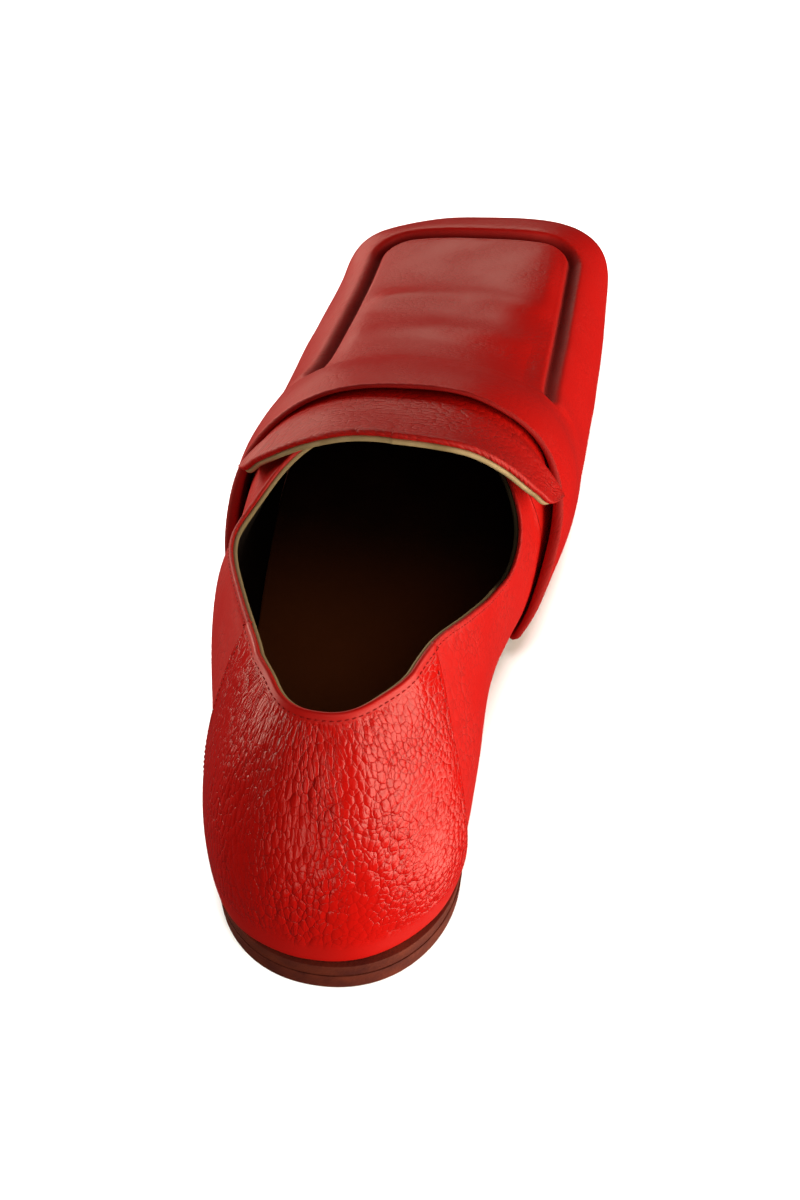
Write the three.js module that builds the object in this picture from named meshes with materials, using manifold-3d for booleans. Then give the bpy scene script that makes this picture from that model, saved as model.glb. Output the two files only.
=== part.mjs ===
// A square-toed slip-on loafer for the left foot: leather upper with a sunk apron, tongue, heel panel, sole.
// Millimetres; +Y runs from heel to toe, +X points to the inner side of the foot, +Z is up, floor at Z 0.
// The upper follows one surface over the foot, given by u along the shoe and v from sole edge to ridge.

import * as THREE from "three";
import { mergeVertices } from "three/addons/utils/BufferGeometryUtils.js";
import Module from "manifold-3d";

const wasm = await Module();
wasm.setup();

// Where the origin lies: distance in front of the heel and to the inner side of the foot's centre line.
const originFromHeel = 136.6;
const originInward = -3.6;

// The outline of the foot at the sole edge.
const footLength = 273;
const heelRound = 33;
const heelSquareness = 2.15;
const toeRound = 25;
const toeSquareness = 3.2;
const toeSkew = 0.17;
const skewFrom = 190;
const endShare = 0.2;

// Leather, sole and the small gap left wherever two pieces meet.
const gap = 0.3;
const panelGap = 0.45;
const tongueGap = 0.45;
const insoleGap = 0.8;
const upperWall = 2.6;
const apronStep = 1.5;
const panelThickness = 1.2;
const tongueThickness = 2.9;
const tongueRootThickness = 1.0;
const insoleThickness = 2.0;
const soleThickness = 3.8;
const soleUndercut = 0.7;
const heelHeight = 4.4;
const heelBreast = 62;
const leanHeight = 60;

// Half widths at the sole edge on the outer and the inner side of the foot, height of the ridge, and how
// square the cross-section is.
const sections = [
  { fromHeel: 0, outer: 27.2, inner: 27.9, ridge: 96, square: 3.4 },
  { fromHeel: 34, outer: 27.2, inner: 27.9, ridge: 96, square: 3.4 },
  { fromHeel: 76, outer: 34.2, inner: 23.6, ridge: 86, square: 3.3 },
  { fromHeel: 118, outer: 40.4, inner: 32.0, ridge: 66, square: 3.0 },
  { fromHeel: 154, outer: 44.0, inner: 37.4, ridge: 54.5, square: 2.8 },
  { fromHeel: 190, outer: 44.4, inner: 38.5, ridge: 43, square: 2.7 },
  { fromHeel: 221, outer: 43.1, inner: 38.2, ridge: 35, square: 2.7 },
  { fromHeel: 245, outer: 41.2, inner: 37.0, ridge: 30.5, square: 2.8 },
  { fromHeel: 273, outer: 38.4, inner: 35.7, ridge: 27.5, square: 2.8 },
];

// How far the wall swells out, and how high above the sole that is.
const walls = [
  { fromHeel: 0, swell: 0.9, swellAt: 33 },
  { fromHeel: 34, swell: 4.0, swellAt: 27 },
  { fromHeel: 76, swell: 7.2, swellAt: 33 },
  { fromHeel: 118, swell: 4.0, swellAt: 26 },
  { fromHeel: 154, swell: 3.2, swellAt: 14 },
  { fromHeel: 190, swell: 2.8, swellAt: 11 },
  { fromHeel: 221, swell: 2.4, swellAt: 9 },
  { fromHeel: 245, swell: 2.0, swellAt: 8 },
  { fromHeel: 273, swell: 1.8, swellAt: 7 },
];

// How far the wall leans in by leanHeight on each side.
const leans = [
  { fromHeel: 0, leanOuter: 14.8, leanInner: 14.8 },
  { fromHeel: 18, leanOuter: 13.2, leanInner: 12.8 },
  { fromHeel: 34, leanOuter: 10.0, leanInner: 9.1 },
  { fromHeel: 50, leanOuter: 6.9, leanInner: 5.0 },
  { fromHeel: 76, leanOuter: 5.6, leanInner: 0.0 },
  { fromHeel: 100, leanOuter: 9.5, leanInner: -1.6 },
  { fromHeel: 118, leanOuter: 6.0, leanInner: 3.0 },
  { fromHeel: 154, leanOuter: 1.0, leanInner: 0.0 },
  { fromHeel: 273, leanOuter: 0.0, leanInner: 0.0 },
];

// Height of the sole's underside, how far its edge stands out past the foot outline on each side, and how
// far it sways to the inner side.
const tread = [
  { fromHeel: 0, height: 4.7, edgeOuter: 2.2, edgeInner: 2.2, sway: 1.3 },
  { fromHeel: 34, height: 4.7, edgeOuter: 1.8, edgeInner: 1.6, sway: 0.3 },
  { fromHeel: 62, height: 4.7, edgeOuter: 1.6, edgeInner: 0.6, sway: 0.0 },
  { fromHeel: 118, height: 2.2, edgeOuter: 0.2, edgeInner: -2.0, sway: 0.0 },
  { fromHeel: 160, height: 0.0, edgeOuter: 0.8, edgeInner: 0.4, sway: 0.0 },
  { fromHeel: 205, height: 0.0, edgeOuter: 1.0, edgeInner: 1.0, sway: 0.0 },
  { fromHeel: 245, height: 1.6, edgeOuter: 1.0, edgeInner: 1.0, sway: 0.0 },
  { fromHeel: 273, height: 4.2, edgeOuter: 1.0, edgeInner: 1.0, sway: 0.0 },
];

// Height of the collar edge along the foot; its last row is the throat, where it meets the ridge.
const throatFromHeel = 122;
const collar = [
  { fromHeel: 0, outer: 69.8, inner: 69.8 },
  { fromHeel: 23, outer: 71.2, inner: 71.2 },
  { fromHeel: 28, outer: 71.3, inner: 71.3 },
  { fromHeel: 45, outer: 68.7, inner: 70.2 },
  { fromHeel: 60, outer: 65.7, inner: 63.3 },
  { fromHeel: 76, outer: 61.0, inner: 54.8 },
  { fromHeel: 90, outer: 57.0, inner: 49.4 },
  { fromHeel: 100, outer: 56.3, inner: 50.1 },
  { fromHeel: 109, outer: 62.4, inner: 53.8 },
  { fromHeel: 116, outer: 65.4, inner: 57.5 },
  { fromHeel: 122, outer: 64.7, inner: 64.7 },
];

// Front edge of the heel panel, by the share of the height from sole edge to collar.
const panelEdge = [
  { share: 0, outer: 31, inner: 26.5 },
  { share: 0.5, outer: 36.5, inner: 28.5 },
  { share: 1, outer: 43.5, inner: 43.5 },
];

// Free rear edge of the vamp by v, and how far it is lifted off the quarters; it runs forward into the upper.
const vampEdge = [
  { v: 0.03, outer: 103, inner: 108, liftOuter: 1.2, liftInner: 1.2 },
  { v: 0.16, outer: 110, inner: 113, liftOuter: 1.9, liftInner: 2.4 },
  { v: 0.3, outer: 120, inner: 126, liftOuter: 2.8, liftInner: 3.5 },
  { v: 0.45, outer: 123, inner: 132, liftOuter: 3.8, liftInner: 3.9 },
  { v: 0.7, outer: 127, inner: 131.5, liftOuter: 3.9, liftInner: 3.9 },
  { v: 1, outer: 130, inner: 130, liftOuter: 3.9, liftInner: 3.9 },
];
const vampBlend = 172;

// Height of the vamp's free edge above the quarters' surface, as a share of the way to vampBlend.
const vampLip = [
  { share: 0, under: 1.0, thick: 2.2, sink: 0 },
  { share: 0.25, under: 0.8, thick: 2.0, sink: 0 },
  { share: 0.45, under: 0.55, thick: 1.6, sink: 0 },
  { share: 0.7, under: 0, thick: 1.8, sink: 1.0 },
  { share: 1, under: 0, thick: 1.0, sink: 1.8 },
];

// Rear edge and hidden front edge of the tongue by v, and how far the edge flares out.
const tongueEdge = [
  { v: 0.4, rearOuter: 113, rearInner: 115, root: 125, flare: 4.2 },
  { v: 0.46, rearOuter: 108, rearInner: 108.5, root: 133, flare: 3.2 },
  { v: 0.58, rearOuter: 103.5, rearInner: 104, root: 141, flare: 1.4 },
  { v: 0.75, rearOuter: 101.5, rearInner: 101.5, root: 145, flare: 0.3 },
  { v: 1, rearOuter: 100.5, rearInner: 100.5, root: 146, flare: 0 },
];
const flareRun = 9;
const thinRun = 15;

// The sunk apron panel on the vamp, seen from above.
const apronRear = 150;
const apronFade = 36;
const apronFront = 250.5;
const apronOuter = -30.5;
const apronInner = 28.5;
const apronCorner = 11;
const apronFrontSkew = 0.1;
const stepHalf = 0.006;

// How finely the curved pieces are divided.
const heelSteps = 9;
const quarterSteps = 10;
const vampSteps = 17;
const toeSteps = 9;
const wallSteps = 10;
const apronSteps = 6;
const overlaySteps = 14;

const outerSide = -1;
const innerSide = 1;

const clamp = (value, low, high) => Math.min(Math.max(value, low), high);

// A smooth step from 0 to 1.
function ease(t) {
  const s = clamp(t, 0, 1);
  return s * s * (3 - 2 * s);
}

// A smooth curve through one column of a table, read at a place along its first column.
function read(table, name, place) {
  const key = Object.keys(table[0])[0];
  const last = table.length - 1;
  const at = clamp(place, table[0][key], table[last][key]);
  const run = (i) => table[i + 1][key] - table[i][key];
  const rate = (i) => (table[i + 1][name] - table[i][name]) / run(i);
  const slope = (i) => {
    if (i === 0) return rate(0);
    if (i === last) return rate(last - 1);
    return (rate(i - 1) * run(i) + rate(i) * run(i - 1)) / (run(i) + run(i - 1));
  };
  let k = 0;
  while (k < last - 1 && at >= table[k + 1][key]) k += 1;
  const t = (at - table[k][key]) / run(k);
  const t2 = t * t;
  const t3 = t2 * t;
  const fromStart = (2 * t3 - 3 * t2 + 1) * table[k][name] + (t3 - 2 * t2 + t) * run(k) * slope(k);
  return fromStart + (3 * t2 - 2 * t3) * table[k + 1][name] + (t3 - t2) * run(k) * slope(k + 1);
}

const sideName = (name, side) => name + (side < 0 ? "Outer" : "Inner");
const bySide = (side) => (side < 0 ? "outer" : "inner");

// A quarter turn of a squared ellipse: shares across and along, for a turn of 0 to 1.
function squaredTurn(turn, squareness) {
  const c = Math.max(Math.cos((turn * Math.PI) / 2), 0);
  const s = Math.max(Math.sin((turn * Math.PI) / 2), 0);
  const r = (c ** squareness + s ** squareness) ** (1 / squareness);
  return [c / r, s / r];
}

const bodyStart = heelRound;
const bodyEnd = footLength - toeRound;
const uAt = (fromHeel) => endShare + ((1 - 2 * endShare) * (fromHeel - bodyStart)) / (bodyEnd - bodyStart);

const treadHeight = (fromHeel) => clamp(read(tread, "height", fromHeel), 0, heelHeight + gap);
const soleTop = (fromHeel) => treadHeight(fromHeel) + soleThickness;
const featherHeight = (fromHeel) => soleTop(fromHeel) + gap;

// The foot outline at the sole edge: a rounded heel, straight-run sides by the table, a squared toe.
function outline(u, side) {
  let y = bodyStart + ((bodyEnd - bodyStart) * (u - endShare)) / (1 - 2 * endShare);
  let across = 1;
  if (u < endShare) {
    const [along, out] = squaredTurn(u / endShare, heelSquareness);
    y = heelRound * (1 - along);
    across = out;
  } else if (u > 1 - endShare) {
    const [along, out] = squaredTurn((1 - u) / endShare, toeSquareness);
    y = bodyEnd + toeRound * along;
    across = out;
  }
  const x = side * read(sections, bySide(side), y) * across;
  return { x, y, centreY: clamp(y, bodyStart, bodyEnd) };
}

const skewed = (x, y) => y + toeSkew * x * ease((y - skewFrom) / (footLength - skewFrom));

// A point of the upper's surface: each section fans from the centre line out to the outline and rises as a
// squared quarter turn from the sole edge to the ridge, then swells out low down and leans in high up.
function surfacePoint(u, v, side) {
  const o = outline(u, side);
  const dx = o.x;
  const dy = o.y - o.centreY;
  const reach = Math.hypot(dx, dy) + 1e-9;
  const [across, rise] = squaredTurn(v, read(sections, "square", o.y));
  const base = featherHeight(o.y);
  const y0 = o.centreY + dy * across;
  const z = base + (read(sections, "ridge", y0) - base) * rise;
  const climb = (z - base) / read(walls, "swellAt", o.y);
  const lean = read(leans, sideName("lean", side), o.y) * ((z - base) / leanHeight) ** 2;
  const swell = read(walls, "swell", o.y) * climb * Math.exp(1 - climb);
  const push = ((swell - lean) * (1 - (1 - across) ** 4)) / reach;
  const x = dx * across + dx * push;
  const y = y0 + dy * push;
  return new THREE.Vector3(x, skewed(x, y), z);
}

// The outward direction at a point of the surface, shared by both sides along the heel, toe and ridge.
function surfaceNormal(u, v, side) {
  const step = 0.002;
  if (v > 0.9999) {
    const y = surfacePoint(u, 1, side).y;
    const slope = read(sections, "ridge", y + 0.5) - read(sections, "ridge", y - 0.5);
    return new THREE.Vector3(0, -slope, 1).normalize();
  }
  const oneSided = (s) => {
    const along = surfacePoint(Math.min(u + step, 1), v, s).sub(surfacePoint(Math.max(u - step, 0), v, s));
    const up = surfacePoint(u, Math.min(v + step, 1), s).sub(surfacePoint(u, Math.max(v - step, 0), s));
    return along.cross(up).multiplyScalar(s).normalize();
  };
  if (u < 1e-6 || u > 1 - 1e-6) return oneSided(outerSide).add(oneSided(innerSide)).normalize();
  return oneSided(side);
}

// A point at a given distance off the surface.
function offPoint(u, v, side, off) {
  return surfacePoint(u, v, side).addScaledVector(surfaceNormal(u, v, side), off);
}

// The v at which the collar edge crosses the section at u; 1 from the throat forward.
function collarV(u, side) {
  if (u >= uAt(throatFromHeel) - 1e-9) return 1;
  let low = 0;
  let high = 1;
  for (let i = 0; i < 40; i += 1) {
    const mid = (low + high) / 2;
    const p = surfacePoint(u, mid, side);
    if (p.z < read(collar, bySide(side), p.y)) low = mid;
    else high = mid;
  }
  return (low + high) / 2;
}

function evenSteps(from, to, count) {
  return Array.from({ length: count + 1 }, (_, i) => from + ((to - from) * i) / count);
}

// The places along the shoe at which the sections are set out.
const uThroat = uAt(throatFromHeel);
const stations = [
  ...evenSteps(0, endShare, heelSteps),
  ...evenSteps(endShare, uThroat, quarterSteps).slice(1),
  ...evenSteps(uThroat, 1 - endShare, vampSteps).slice(1),
  ...evenSteps(1 - endShare, 1, toeSteps).slice(1),
];
const shares = evenSteps(0, 1, overlaySteps);

// A closed solid from corner points and faces given as loops of corners; collapsed faces drop out.
function solidFrom(points, loops) {
  const corners = [];
  for (const loop of loops) {
    for (let i = 1; i < loop.length - 1; i += 1) {
      for (const k of [loop[0], loop[i], loop[i + 1]]) corners.push(...points[k].toArray());
    }
  }
  const raw = new THREE.BufferGeometry();
  raw.setAttribute("position", new THREE.Float32BufferAttribute(corners, 3));
  const merged = mergeVertices(raw, 1e-3);
  const kept = [];
  const all = merged.index.array;
  for (let i = 0; i < all.length; i += 3) {
    const [a, b, c] = [all[i], all[i + 1], all[i + 2]];
    if (a !== b && b !== c && c !== a) kept.push(a, b, c);
  }
  const vertProperties = new Float32Array(merged.attributes.position.array);
  return new wasm.Manifold(new wasm.Mesh({ numProp: 3, vertProperties, triVerts: new Uint32Array(kept) }));
}

// A sheet between two grids of points, closed along all four edges.
function sheetSolid(over, under) {
  const rows = over.length;
  const cols = over[0].length;
  const points = [...over.flat(), ...under.flat()];
  const top = (i, j) => i * cols + j;
  const low = (i, j) => rows * cols + i * cols + j;
  const loops = [];
  for (let i = 0; i < rows - 1; i += 1) {
    for (let j = 0; j < cols - 1; j += 1) {
      loops.push([top(i, j), top(i + 1, j), top(i + 1, j + 1), top(i, j + 1)]);
      loops.push([low(i, j), low(i, j + 1), low(i + 1, j + 1), low(i + 1, j)]);
    }
    loops.push([top(i + 1, 0), top(i, 0), low(i, 0), low(i + 1, 0)]);
    loops.push([top(i, cols - 1), top(i + 1, cols - 1), low(i + 1, cols - 1), low(i, cols - 1)]);
  }
  for (let j = 0; j < cols - 1; j += 1) {
    loops.push([top(0, j), top(0, j + 1), low(0, j + 1), low(0, j)]);
    loops.push([top(rows - 1, j + 1), top(rows - 1, j), low(rows - 1, j), low(rows - 1, j + 1)]);
  }
  return solidFrom(points, loops);
}

// A plate between two outlines of the sole: rungs run across the foot from outer to inner edge.
function plateSolid(upperEdge, lowerEdge, places) {
  const grid = (edge) => [outerSide, innerSide].map((side) => places.map((u) => edge(u, side)));
  return sheetSolid(grid(upperEdge), grid(lowerEdge));
}

// The foot outline moved out by a distance, swayed to the inner side and set at a height.
function edgePoint(u, side, out, z, sway = 0) {
  const o = outline(u, side);
  const dy = o.y - o.centreY;
  const grow = 1 + out / (Math.hypot(o.x, dy) + 1e-9);
  const x = o.x * grow + sway;
  return new THREE.Vector3(x, skewed(x, o.centreY + dy * grow), z);
}

const yAt = (u) => outline(u, outerSide).y;

// The sole's edge at a height, drawn in by a distance.
function soleEdgePoint(u, side, drawnIn, z) {
  const out = read(tread, sideName("edge", side), yAt(u)) - drawnIn;
  return edgePoint(u, side, out, z, read(tread, "sway", yAt(u)));
}

// How far a place on the vamp, seen from above, lies outside the apron's rounded outline.
function outsideApron(p) {
  const across = Math.max(apronOuter - p.x, p.x - apronInner);
  const ahead = p.y - apronFront - apronFrontSkew * p.x;
  const a = across + apronCorner;
  const b = ahead + apronCorner;
  if (a > 0 && b > 0) return Math.hypot(a, b) - apronCorner;
  return Math.max(across, ahead);
}

// The v at which the apron's edge crosses the section at u.
function apronV(u, side) {
  let low = 0;
  let high = 1;
  for (let i = 0; i < 40; i += 1) {
    const mid = (low + high) / 2;
    if (outsideApron(surfacePoint(u, mid, side)) > 0) low = mid;
    else high = mid;
  }
  return (low + high) / 2;
}

// The rows of points up one side at u: up to the collar, or over the vamp with a step down at the apron.
function wallRows(u, side) {
  if (u < uThroat - 1e-9) {
    const top = collarV(u, side);
    return evenSteps(0, top, wallSteps + apronSteps + 1).map((v) => ({ v, sunk: 0 }));
  }
  const edge = apronV(u, side);
  const depth = apronStep * ease((yAt(u) - apronRear) / apronFade);
  return [
    ...evenSteps(0, edge - stepHalf, wallSteps).map((v) => ({ v, sunk: 0 })),
    ...evenSteps(edge + stepHalf, 1, apronSteps).map((v) => ({ v, sunk: depth })),
  ];
}

// The upper's shell from sole edge to collar, joined over the ridge from the throat to the toe.
function upperShell() {
  const points = [];
  const index = new Map();
  for (const side of [outerSide, innerSide]) {
    stations.forEach((u, i) => {
      wallRows(u, side).forEach(({ v, sunk }, j) => {
        [-sunk, -upperWall].forEach((off, skin) => {
          index.set([side, i, j, skin].join(), points.length);
          points.push(offPoint(u, v, side, off));
        });
      });
    });
  }
  const at = (side, i, j, skin) => index.get([side, i, j, skin].join());
  const loops = [];
  const rim = wallSteps + apronSteps + 1;
  for (const side of [outerSide, innerSide]) {
    const add = (corners) => {
      const loop = corners.map(([i, j, skin]) => at(side, i, j, skin));
      loops.push(side > 0 ? loop : loop.reverse());
    };
    for (let i = 0; i < stations.length - 1; i += 1) {
      const k = i + 1;
      for (let j = 0; j < rim; j += 1) {
        add([[i, j, 0], [k, j, 0], [k, j + 1, 0], [i, j + 1, 0]]);
        add([[i, j, 1], [i, j + 1, 1], [k, j + 1, 1], [k, j, 1]]);
      }
      add([[k, 0, 0], [i, 0, 0], [i, 0, 1], [k, 0, 1]]);
      if (stations[k] < uThroat + 1e-9) add([[i, rim, 0], [k, rim, 0], [k, rim, 1], [i, rim, 1]]);
    }
  }
  return solidFrom(points, loops);
}

// Places over the foot from the outer sole edge across the ridge to the inner sole edge.
function overFoot(lowest) {
  const rising = [lowest, ...shares.filter((s) => s > lowest + 0.01)];
  return [...rising.map((v) => [v, outerSide]), ...rising.slice(0, -1).reverse().map((v) => [v, innerSide])];
}

// The vamp's free rear edge: a lip that stands clear of the quarters and the tongue, and dips into the upper.
function vampLipSolid() {
  const across = overFoot(vampEdge[0].v);
  const grid = (isTop) =>
    across.map(([v, side]) =>
      evenSteps(0, 1, 10).map((b) => {
        const rear = read(vampEdge, bySide(side), v);
        const lift = read(vampEdge, sideName("lift", side), v);
        const under = gap + read(vampLip, "under", b) * lift - read(vampLip, "sink", b);
        const off = under + (isTop ? read(vampLip, "thick", b) : 0);
        return offPoint(uAt(rear + (vampBlend - rear) * b), v, side, off);
      }),
    );
  return sheetSolid(grid(true), grid(false));
}

const makeUpper = () => upperShell().add(vampLipSolid());

// A second layer of leather round the heel, from seam to seam and from sole edge to collar.
function makeHeelPanel() {
  const turns = [...evenSteps(-1, 0, heelSteps + 2), ...evenSteps(0, 1, heelSteps + 2).slice(1)];
  const grid = (off) =>
    turns.map((t) =>
      shares.map((s) => {
        const side = t < 0 ? outerSide : innerSide;
        const u = Math.abs(t) * uAt(read(panelEdge, bySide(side), s));
        const v = (0.02 + 0.965 * s) * collarV(u, side);
        return offPoint(u, v, side, off);
      }),
    );
  return sheetSolid(grid(panelGap + panelThickness), grid(panelGap));
}

// The tongue: thin where it is held under the vamp, full and flared out along its free rear edge.
function makeTongue() {
  const across = overFoot(tongueEdge[0].v);
  const grid = (isTop) =>
    across.map(([v, side]) =>
      evenSteps(0, 1, 8).map((b) => {
        const rear = read(tongueEdge, sideName("rear", side), v);
        const y = rear + (read(tongueEdge, "root", v) - rear) * b;
        const behindEdge = read(vampEdge, bySide(side), v) - y;
        const flare = read(tongueEdge, "flare", v) * ease((behindEdge - 1) / flareRun);
        const thinning = clamp(-behindEdge / thinRun, 0, 1);
        const thick = tongueThickness + (tongueRootThickness - tongueThickness) * thinning;
        return offPoint(uAt(y), v, side, tongueGap + flare + (isTop ? thick : 0));
      }),
    );
  return sheetSolid(grid(true), grid(false));
}

function makeInsole() {
  const inset = -(upperWall + insoleGap);
  const top = (u, side) => edgePoint(u, side, inset, soleTop(yAt(u)) + gap + insoleThickness);
  const low = (u, side) => edgePoint(u, side, inset, soleTop(yAt(u)) + gap);
  return plateSolid(top, low, stations);
}

function makeOutsole() {
  const top = (u, side) => soleEdgePoint(u, side, 0, soleTop(yAt(u)));
  const low = (u, side) => soleEdgePoint(u, side, soleUndercut, treadHeight(yAt(u)));
  return plateSolid(top, low, stations);
}

function makeHeel() {
  const places = [...stations.filter((u) => u < uAt(heelBreast) - 0.01), uAt(heelBreast)];
  const top = (u, side) => soleEdgePoint(u, side, 0, heelHeight);
  const low = (u, side) => soleEdgePoint(u, side, soleUndercut, 0);
  return plateSolid(top, low, places);
}

const redLeather = { color: 0xc4161c, roughness: 0.45 };
const pieces = [
  { name: "outsole", make: makeOutsole, look: { color: 0x54302b, roughness: 0.8 } },
  { name: "heel", make: makeHeel, look: { color: 0x4a2a26, roughness: 0.8 } },
  { name: "insole", make: makeInsole, look: { color: 0x1d1512, roughness: 0.7 } },
  { name: "upper", make: makeUpper, look: redLeather },
  { name: "heel_panel", make: makeHeelPanel, look: redLeather },
  { name: "tongue", make: makeTongue, look: redLeather },
];

const group = new THREE.Group();
for (const { name, make, look } of pieces) {
  const mesh = make().getMesh();
  const geometry = new THREE.BufferGeometry();
  geometry.setAttribute("position", new THREE.BufferAttribute(mesh.vertProperties, 3));
  geometry.setIndex(new THREE.BufferAttribute(mesh.triVerts, 1));
  geometry.translate(-originInward, -originFromHeel, 0);
  geometry.computeVertexNormals();
  const piece = new THREE.Mesh(geometry, new THREE.MeshStandardMaterial(look));
  piece.name = name;
  group.add(piece);
}

export default group;
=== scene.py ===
import math
from functools import partial
import bmesh
import bpy
import numpy as np
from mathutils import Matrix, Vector


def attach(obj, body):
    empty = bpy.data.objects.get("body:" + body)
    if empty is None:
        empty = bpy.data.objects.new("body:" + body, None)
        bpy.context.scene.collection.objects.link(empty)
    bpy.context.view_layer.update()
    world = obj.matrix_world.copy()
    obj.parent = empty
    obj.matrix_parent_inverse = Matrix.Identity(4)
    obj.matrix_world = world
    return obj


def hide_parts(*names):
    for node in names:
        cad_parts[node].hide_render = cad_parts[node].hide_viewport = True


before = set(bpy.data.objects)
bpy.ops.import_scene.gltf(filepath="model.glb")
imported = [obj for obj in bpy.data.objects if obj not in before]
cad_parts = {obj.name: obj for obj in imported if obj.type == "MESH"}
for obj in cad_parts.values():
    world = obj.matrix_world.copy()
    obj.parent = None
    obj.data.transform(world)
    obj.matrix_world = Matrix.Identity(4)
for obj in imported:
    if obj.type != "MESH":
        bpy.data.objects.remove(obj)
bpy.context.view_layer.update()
print("frame loaded:", sorted(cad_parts))
scene = bpy.context.scene

# The foot form, in millimetres from the heel: the solids' tables, with a rounder low point of the collar.
foot = dict(length=273.0, heelRound=33.0, heelSquareness=2.15, toeRound=25.0, toeSquareness=3.2, toeSkew=0.17,
            skewFrom=190.0, endShare=0.2, leanHeight=60.0, gap=0.3, soleThickness=3.8, heelHeight=4.4,
            heelBreast=62.0, soleUndercut=0.3, wall=2.6, throat=122.0, originInward=-3.6,
            originFromHeel=136.6)
sections = dict(
    fromHeel=[0, 34, 76, 118, 154, 190, 221, 245, 273],
    outer=[27.2, 27.2, 34.2, 40.4, 44.0, 44.4, 43.1, 41.2, 38.4],
    inner=[27.9, 27.9, 23.6, 32.0, 37.4, 38.5, 38.2, 37.0, 35.7],
    ridge=[96, 96, 86, 66, 54.5, 43, 35, 30.5, 27.5],
    square=[3.4, 3.4, 3.3, 3.0, 2.8, 2.7, 2.7, 2.8, 2.8],
    swell=[0.9, 4.0, 7.2, 4.0, 3.2, 2.8, 2.4, 2.0, 1.8],
    swellAt=[33, 27, 33, 26, 14, 11, 9, 8, 7])
leans = dict(
    fromHeel=[0, 18, 34, 50, 76, 100, 118, 154, 273],
    outer=[14.8, 13.2, 10.0, 6.9, 5.6, 9.5, 6.0, 1.0, 0],
    inner=[14.8, 12.8, 9.1, 5.0, 0.0, -1.6, 3.0, 0, 0])
tread = dict(
    fromHeel=[0, 34, 62, 118, 160, 205, 245, 273],
    height=[4.7, 4.7, 4.7, 2.2, 0, 0, 1.6, 4.2],
    edgeOuter=[2.2, 1.8, 1.6, 0.2, 0.8, 1.0, 1.0, 1.0],
    edgeInner=[2.2, 1.6, 0.6, -2.0, 0.4, 1.0, 1.0, 1.0],
    sway=[1.3, 0.3, 0, 0, 0, 0, 0, 0])
collar = dict(
    fromHeel=[0, 23, 28, 45, 60, 76, 90, 96, 102, 109, 116, 122],
    outer=[69.8, 71.2, 71.3, 68.7, 65.7, 61.0, 57.6, 56.9, 58.5, 62.7, 66.0, 64.7],
    inner=[69.8, 71.2, 71.3, 70.2, 63.3, 54.8, 49.4, 49.4, 50.8, 53.8, 57.5, 64.7])
bodyEnd = foot["length"] - foot["toeRound"]


def ease(t):  # smooth step from 0 to 1
    s = np.clip(t, 0, 1)
    return s * s * (3 - 2 * s)


def curve(table, name, at):  # smooth cubic through one column, read along the table's first column
    xs = np.asarray(next(iter(table.values())), float)
    ys = np.asarray(table[name], float)
    at = np.clip(np.asarray(at, float), xs[0], xs[-1])
    run = np.diff(xs)
    rate = np.diff(ys) / run
    slope = np.empty(len(xs))
    slope[0], slope[-1] = rate[0], rate[-1]
    slope[1:-1] = (rate[:-1] * run[1:] + rate[1:] * run[:-1]) / (run[1:] + run[:-1])
    k = np.clip(np.searchsorted(xs, at, side="right") - 1, 0, len(xs) - 2)
    t = (at - xs[k]) / run[k]
    t2, t3 = t * t, t ** 3
    start = (2 * t3 - 3 * t2 + 1) * ys[k] + (t3 - 2 * t2 + t) * run[k] * slope[k]
    return start + (3 * t2 - 2 * t3) * ys[k + 1] + (t3 - t2) * run[k] * slope[k + 1]


def bySide(table, names, at, side):  # outer column where side is below 0, inner column elsewhere
    return np.where(side < 0, curve(table, names[0], at), curve(table, names[1], at))


def squaredTurn(turn, squareness):  # quarter of a squared ellipse: cosine and sine over their power mean
    c = np.maximum(np.cos(turn * np.pi / 2), 0)
    s = np.maximum(np.sin(turn * np.pi / 2), 0)
    r = (c ** squareness + s ** squareness) ** (1 / squareness)
    return c / r, s / r


def uAt(y):  # share round the outline of a place between the rounded heel and toe
    along = (np.asarray(y, float) - foot["heelRound"]) / (bodyEnd - foot["heelRound"])
    return foot["endShare"] + (1 - 2 * foot["endShare"]) * along


def treadHeight(y):
    return np.clip(curve(tread, "height", y), 0, foot["heelHeight"] + foot["gap"])


def soleTop(y):
    return treadHeight(y) + foot["soleThickness"]


def outline(u, side):  # rounded heel, sides by the table, squared toe; and the y of the centre it fans from
    share = foot["endShare"]
    heel, toe = u < share, u > 1 - share
    heelAlong, heelOut = squaredTurn(np.clip(u / share, 0, 1), foot["heelSquareness"])
    toeAlong, toeOut = squaredTurn(np.clip((1 - u) / share, 0, 1), foot["toeSquareness"])
    body = foot["heelRound"] + (bodyEnd - foot["heelRound"]) * (u - share) / (1 - 2 * share)
    y = np.where(toe, bodyEnd + foot["toeRound"] * toeAlong, body)
    y = np.where(heel, foot["heelRound"] * (1 - heelAlong), y)
    across = np.where(heel, heelOut, np.where(toe, toeOut, 1.0))
    x = side * bySide(sections, ("outer", "inner"), y, side) * across
    return x, y, np.clip(y, foot["heelRound"], bodyEnd)


def skewed(x, y):  # the toe is longer on the inner side
    return y + foot["toeSkew"] * x * ease((y - foot["skewFrom"]) / (foot["length"] - foot["skewFrom"]))


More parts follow.
